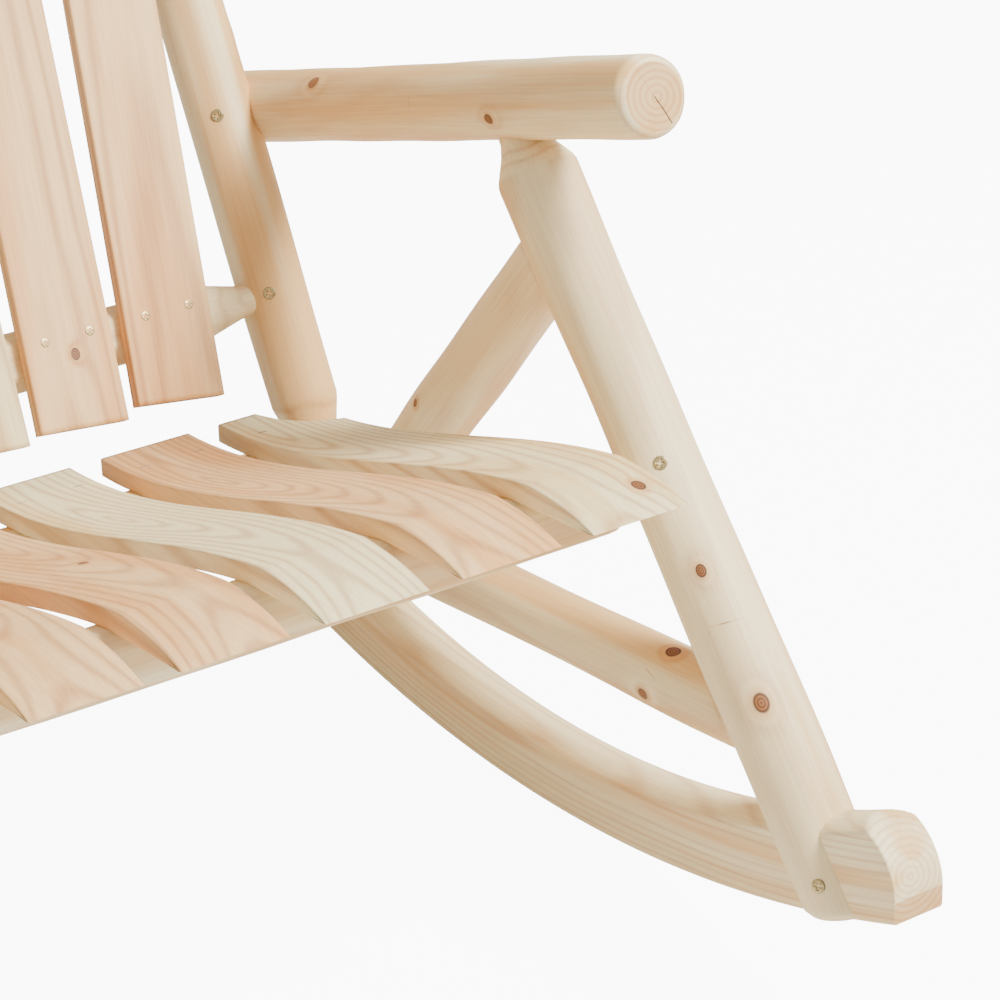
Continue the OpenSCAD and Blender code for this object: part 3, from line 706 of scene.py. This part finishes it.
ZINC = metal("screw_zinc", linear(206, 186, 132), linear(150, 128, 84), 0.22)
STEEL = metal("staple_steel", linear(128, 122, 116), linear(84, 74, 66), 0.35)
print("materials:", [m.name for m in bpy.data.materials][-5:])

# %% [markdown]
# ## The logs

# %% Side frames


def seat_trim(p):
    """Keeps a log below the seat's underside."""
    lid = SEAT_H + seat_under(p[..., 1] - SEAT_Y)
    return np.concatenate([p[..., :2], np.minimum(p[..., 2], lid)[..., None]], -1)


def board_trim(p):
    """Keeps a log behind the back boards: flattens it at the boards' rear face."""
    normal = np.array([0, np.cos(BACK_LEAN), -np.sin(BACK_LEAN)])
    gap = (p - back_point(np.zeros(1), np.zeros(1), np.zeros(1))[0]) @ normal + BOARD_FACE - BACK_T
    return p - np.minimum(gap, 0)[..., None] * normal


def on_post(x, s):
    """Point of a back post's middle line."""
    return back_point(np.array(float(x)), np.array(0.0), np.array(float(s)))


KNOTS = {
    "front_leg_left": [[50, 345, 4, 0.9], [55, 235, 6, 0.7]],
    "side_stretcher_left": [[76, 112, 5.5, 1.0], [-13, 128, 4.5, 0.6]],
    "armrest_left": [[46, 457, 5.5, 0.4], [-15, 179, 4, 0.9]],
}
count = 0
for side, sign in (("left", 1), ("right", -1)):
    out = np.array([-sign, 0.0, 0.0])
    leg_a, leg_b = xyz(sign * LEG_X, LEG_FOOT), xyz(sign * LEG_X, ARM_CROSS)
    reach = np.linalg.norm(leg_b - leg_a)
    neck = reach - ARM_R
    leg_in = cope(leg_a, leg_b, LEG_R, 1)
    foot = xyz(sign * LEG_X, rear_at(FOOT_Z))
    head = xyz(sign * LEG_X, REAR_HEAD)
    near = xyz(sign * LEG_X, leg_at(STRETCHER_FRONT))
    far = xyz(sign * LEG_X, rear_at(STRETCHER_BACK))
    end_s = FOOT_S - FOOT_TAIL
    logs = {
        "front_leg": (leg_a, leg_a + unit(leg_b - leg_a) * (reach + NECK_IN), LEG_R, dict(
            start=on_floor, profile=[(-60, LEG_R), (neck - LEG_TAPER, LEG_R),
                                     (neck - LEG_TAPER + 4, LEG_R - 1),
                                     (neck - 12, 21.5), (neck, NECK_R), (neck + 90, NECK_R)])),
        "rear_leg": (foot, head, REAR_R, dict(
            start=on_floor, finish=cope(leg_a, leg_b, LEG_R, -1))),
        "side_stretcher": (near, far, STRETCHER_R, dict(
            start=leg_in, finish=cope(foot, head, REAR_R, -1))),
        "armrest": (xyz(sign * LEG_X, ARM_TIP), xyz(sign * LEG_X, ARM_END), ARM_R,
                    dict(round_by=6.0, crack=3.63)),
        "back_post": (on_post(sign * POST_X, end_s), on_post(sign * POST_X, POST_LEN), POST_R, dict(
            profile=[(0, FOOT_R), (SHOULDER_S - FOOT_TAPER - end_s, FOOT_R),
                     (SHOULDER_S - end_s, POST_R),
                     (POST_LEN - end_s - 9, POST_R), (POST_LEN - end_s, POST_R - 7)])),
    }
    for kind, (a, b, r, more) in logs.items():
        name = kind + "_" + side
        made = log(a, b, r, out, seed=10 + count, knots=KNOTS.get(name, ()), **more)
        piece(name + "_wood", [name], LOG, [made])
        count += 1
    piece("rocker_" + side + "_wood", ["rocker_" + side], LOG, [rocker(sign)])
print("side frames:", count + 2, "pieces")

# %% Logs across
ahead = np.array([0.0, -1, 0])
for name, at, leg_r, tenon in (("front_seat_rail", FRONT_RAIL, LEG_R, TENON_R),
                               ("rear_seat_rail", REAR_RAIL, REAR_R, REAR_TENON_R)):
    end = LEG_X - leg_r + TENON_IN
    shape = [(0, tenon), (40, tenon), (66, SEAT_RAIL_R), (2 * end - 66, SEAT_RAIL_R),
             (2 * end - 40, tenon), (2 * end, tenon)]
    made = log(xyz(-end, at), xyz(end, at), SEAT_RAIL_R, ahead, profile=shape, trim=seat_trim,
               seed=count)
    piece(name + "_wood", [name], LOG, [made])
    count += 1
for name, s in (("lower_back_rail", LOW_S), ("upper_back_rail", HIGH_S)):
    end = POST_X - POST_R + TENON_IN
    shape = [(0, TENON_R), (44, TENON_R), (88, BACK_RAIL_R), (2 * end - 88, BACK_RAIL_R),
             (2 * end - 44, TENON_R), (2 * end, TENON_R)]
    made = log(on_post(-end, s), on_post(end, s), BACK_RAIL_R, ahead, profile=shape,
               trim=board_trim, seed=count)
    piece(name + "_wood", [name], LOG, [made])
    count += 1
print("logs across: 4")

# %% Seat and back boards
SEAT_KNOTS = {1: [[24, 36, 5, 1.0]], 4: [[14, 250, 4, 0.7]], 6: [[-20, 400, 5, 0.8]]}
BACK_KNOTS = {2: [[4, 62, 4, 0.9]], 5: [[-15, 420, 5, 0.7]], 7: [[12, 250, 4, 0.8]]}
for i in range(1, SLATS + 1):
    pale = i in (1, 3, 6, 8)
    piece(f"seat_slat_{i}_wood", [f"seat_slat_{i}"],
          PALE if pale else TAN, [seat_board(i, SEAT_KNOTS.get(i, ()))])
for i in range(1, BACKS + 1):
    pale = i in (3, 6)
    piece(f"back_slat_{i}_wood", [f"back_slat_{i}"],
          PALE if pale else TAN, [back_board(i, BACK_KNOTS.get(i, ()))])
print("boards:", SLATS + BACKS)

# %% [markdown]
# ## Fixings
#
# Each group is a list of [point, direction, length, lag], the same as in the solids.

# %% Places of the screws


def back_way(x, y, s):
    """Direction of the back's frame."""
    return (back_point(*(np.array(float(v)) for v in (x, y, s)))
            - back_point(*(np.array(0.0) for _ in range(3))))


def board_screws(s):
    """Two screws through each back board, 42 mm apart."""
    made = []
    for i in range(1, BACKS + 1):
        mid, fan = back_mid(i)
        for h in (-21, 21):
            x = mid + s * np.tan(fan) + h
            at = back_point(np.array(x), np.array(-float(BOARD_FACE)), np.array(float(s)))
            made.append([at, back_way(0, 1, 0), 45, False])
    return made


def both(made):
    """The same screws on both sides."""
    return made + [[p * [-1, 1, 1], w * [-1, 1, 1], n, lag] for p, w, n, lag in made]


TURN_IN = np.radians(34)


def post_screw(s, length):
    """A screw into a post, turned 34 degrees in from straight ahead."""
    way = np.array([np.sin(TURN_IN), np.cos(TURN_IN), 0])
    at = on_post(POST_X, s) - back_way(*way) * POST_R
    return [at, back_way(*way), length, True]


LEG_NORMAL = np.array([0, -np.cos(LEG_LEAN), np.sin(LEG_LEAN)])


def leg_screw(z, turn, length):
    """A screw into the front leg at height z of its middle line."""
    way = np.cos(turn) * LEG_NORMAL - np.sin(turn) * X_AXIS
    return [xyz(LEG_X, leg_at(z)) + way * LEG_R, -way, length, True]


def toe(start, to, length):
    """A slanting screw in the side frame's plane, its head sunk by 3 mm."""
    way = unit(to - start)
    return [xyz(LEG_X, start + 3 * way), xyz(0, way), length, True]


REAR_NORMAL = np.array([0, -REAR_DIR[1], REAR_DIR[0]])
UP_BACK = REAR_NORMAL[1:]
ST_FRONT, ST_BACK = leg_at(STRETCHER_FRONT), rear_at(STRETCHER_BACK)
ST_DIR = unit(ST_BACK - ST_FRONT)
ST_UP = np.array([-ST_DIR[1], ST_DIR[0]])
foot_at = on_post(POST_X - FOOT_R, FOOT_S)
GROUPS = {
    "back_slat_screws_lower": board_screws(LOW_S + SCREW_RISE),
    "back_slat_screws_upper": board_screws(HIGH_S + SCREW_RISE),
    "back_rail_screws": both([post_screw(s, 50) for s in (LOW_S, HIGH_S)]),
    "arm_post_screws": both([post_screw(ARM_S, 96)]),
    "arm_leg_screws": both([[xyz(LEG_X + ARM_R, ARM_CROSS), -X_AXIS, 48, True]]),
    "front_rail_screws": both([leg_screw(FRONT_RAIL[1] + SCREW_RISE, TURN_IN, 52)]),
    "rear_rail_screws": both([[xyz(LEG_X, REAR_RAIL) + REAR_NORMAL * (REAR_R - REAR_LAP),
                               -REAR_NORMAL, 44, True]]),
    "post_foot_screws": both([[foot_at, X_AXIS, 2 * FOOT_R + 42, True]]),
    "front_leg_rocker_screws": both([leg_screw(92, np.radians(62), 48)]),
    "rear_leg_rocker_screws": both([[xyz(LEG_X - REAR_R, rear_at(78)), X_AXIS, 48, True]]),
    "rear_leg_top_screws": both([toe(REAR_HEAD + 78 * REAR_DIR + UP_BACK * REAR_R,
                                     REAR_HEAD + 8 * REAR_DIR, 84)]),
    "stretcher_screws": both([toe(end + way * 84 * ST_DIR - ST_UP * STRETCHER_R,
                                  end + way * 8 * ST_DIR, 88)
                              for end, way in ((ST_FRONT, 1), (ST_BACK, -1))]),
    "seat_slat_screws": [[xyz(seat_mid(i), FRONT_RAIL - [0, SEAT_RAIL_R]),
                          np.array([0.0, 0, 1]), 62, False] for i in range(1, SLATS + 1)],
}
for name, places in GROUPS.items():
    piece(name + "_metal", [name], ZINC, [screw(*place) for place in places])
print("screws:", sum(len(places) for places in GROUPS.values()))

# %% Staples
nail_y = SEAT_LEN - 46.0
nail_at = np.array([SEAT_Y + nail_y, SEAT_H + float(seat_top(np.array(nail_y)))])
NAIL_X = [seat_mid(i) + h for i in range(1, SLATS + 1) for h in (-NAIL_HALF, NAIL_HALF)]
STAPLES = [staple(xyz(x, nail_at)) for x in NAIL_X if abs(x) < SEAT_HALF - SLAT_W / 2]
piece("seat_slat_staples_metal", ["seat_slat_staples"], STEEL, STAPLES)
print("staples:", len(STAPLES))

# %% [markdown]
# ## Floor, light and camera

# %% Floor and light
FLOOR_HALF, FLOOR_Z = 12.0, -0.0005
corners = [(x * FLOOR_HALF, y * FLOOR_HALF, FLOOR_Z)
           for x, y in ((-1, -1), (1, -1), (1, 1), (-1, 1))]
floor_mesh = bpy.data.meshes.new("floor")
floor_mesh.from_pydata(corners, [], [(0, 1, 2, 3)])
floor = bpy.data.objects.new("floor", floor_mesh)
bpy.context.scene.collection.objects.link(floor)
floor_mat, floor_tree, floor_shader = new_material("floor_white")
floor_shader.inputs["Base Color"].default_value = (0.9, 0.9, 0.9, 1)
floor_shader.inputs["Roughness"].default_value = 0.9
glow = floor_tree.nodes.new("ShaderNodeEmission")
glow.inputs["Strength"].default_value = 14.0
blend = floor_tree.nodes.new("ShaderNodeMixShader")
seen = Sock(floor_tree, floor_tree.nodes.new("ShaderNodeLightPath").outputs["Is Camera Ray"]) * 0.7
floor_tree.links.new(seen.out, blend.inputs[0])
floor_tree.links.new(floor_shader.outputs[0], blend.inputs[1])
floor_tree.links.new(glow.outputs[0], blend.inputs[2])
floor_tree.links.new(blend.outputs[0], floor_tree.nodes["Material Output"].inputs["Surface"])
floor_mesh.materials.append(floor_mat)

world = bpy.data.worlds.new("sky")
bpy.context.scene.world = world
world.use_nodes = True
world.node_tree.nodes["Background"].inputs["Color"].default_value = (1, 1, 1, 1)
world.node_tree.nodes["Background"].inputs["Strength"].default_value = 0.72


def area_light(name, at, aim, width, power):
    """A square soft light at a point, facing another."""
    data = bpy.data.lights.new(name, "AREA")
    data.size, data.energy = width, power
    lamp = bpy.data.objects.new(name, data)
    lamp.location = at
    lamp.rotation_euler = (Vector(aim) - Vector(at)).to_track_quat("-Z", "Y").to_euler()
    bpy.context.scene.collection.objects.link(lamp)


area_light("key", (1.7, -1.9, 3.5), (0.2, 0, 0.4), 1.1, 390)

# %% Camera
# It looks down on the chair from the sitters' right, over the front corner.
turn, down, roll = np.radians([-34.0, 24.8, -1.9])
right = np.array([np.cos(turn), np.sin(turn), 0])
ahead = np.array([-np.sin(turn) * np.cos(down), np.cos(turn) * np.cos(down), -np.sin(down)])
up = np.cross(right, ahead)
axes = np.stack([np.cos(roll) * right + np.sin(roll) * up, np.cos(roll) * up - np.sin(roll) * right,
                 -ahead])
c, n = np.cos(TILT), np.sin(TILT)
axes = axes @ np.array([[1, 0, 0], [0, c, n], [0, -n, c]])
data = bpy.data.cameras.new("camera")
data.lens, data.sensor_width = 119.2, 36
data.clip_end = 100
camera = bpy.data.objects.new("camera", data)
matrix = Matrix([[*axes[:, k], 0] for k in range(3)] + [[0, 0, 0, 1]])
matrix.translation = Vector(settle(np.array([-904.0, -2070.0, 1412.0])))
camera.matrix_world = matrix
bpy.context.scene.collection.objects.link(camera)
bpy.context.scene.camera = camera
print("camera at", [round(v, 3) for v in camera.location])
